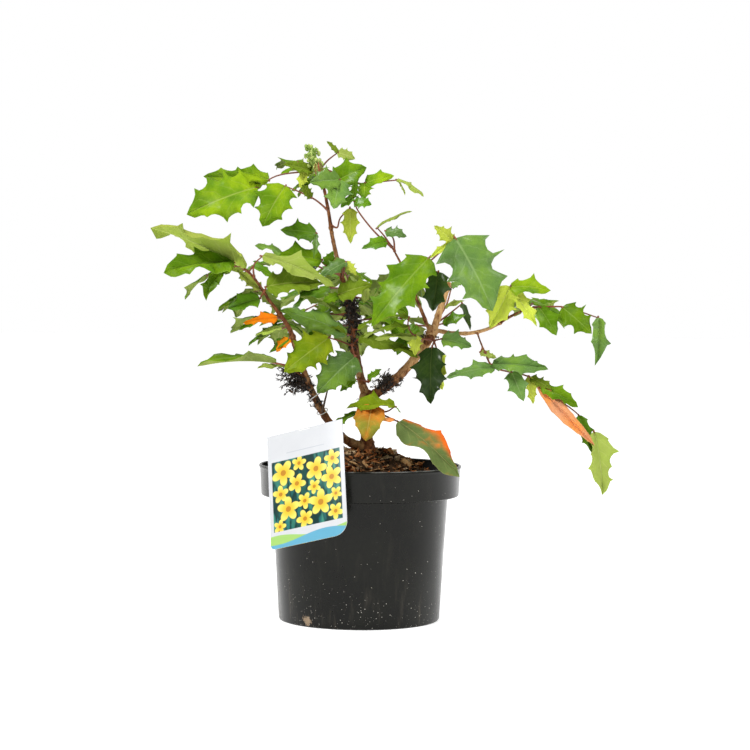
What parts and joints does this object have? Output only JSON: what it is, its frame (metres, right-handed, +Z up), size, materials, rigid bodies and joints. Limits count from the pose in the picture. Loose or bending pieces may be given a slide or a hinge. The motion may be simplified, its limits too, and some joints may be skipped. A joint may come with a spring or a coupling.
{
  "type": "potted oregon grape shrub",
  "caption": "Young evergreen shrub with spiny pinnate leaves on woody stems, growing in a round black nursery pot of bark mulch with a hanging plant label.",
  "frame": {"origin": "middle of the pot's flat underside", "axes": "+Z up along the pot's axis, -Y towards the side with the plant label, +X to the right of that side"},
  "size_m": [0.4308, 0.3345, 0.4526],
  "materials": {
    "pot": "near-black matte moulded nursery pot plastic",
    "mulch": "damp dark brown bark mulch",
    "label": "printed white plastic card",
    "bark": "rough brown bark with grey-tan scales",
    "foliage": "leathery evergreen leaves, satin on top"
  },
  "bodies": {
    "root": {"pot": "pot", "soil": "mulch", "plant_label": "label", "trunk": "bark", "centre_bough": "bark", "upper_bough": "bark", "left_bough": "bark", "left_upper_bough": "bark", "right_bough": "bark", "upright_bough": "bark", "cut_stub": "bark", "outer_bough": "bark", "back_bough": "bark", "top_foliage": "foliage", "upper_right_foliage": "foliage", "left_foliage": "foliage", "left_middle_foliage": "foliage", "centre_foliage": "foliage", "fork_back_foliage": "foliage", "fork_front_foliage": "foliage", "outer_foliage": "foliage", "lower_right_foliage": "foliage", "low_left_leaf": "foliage", "basal_foliage": "foliage", "low_shoot_foliage": "foliage", "back_foliage": "foliage"}
  },
  "joints": []
}
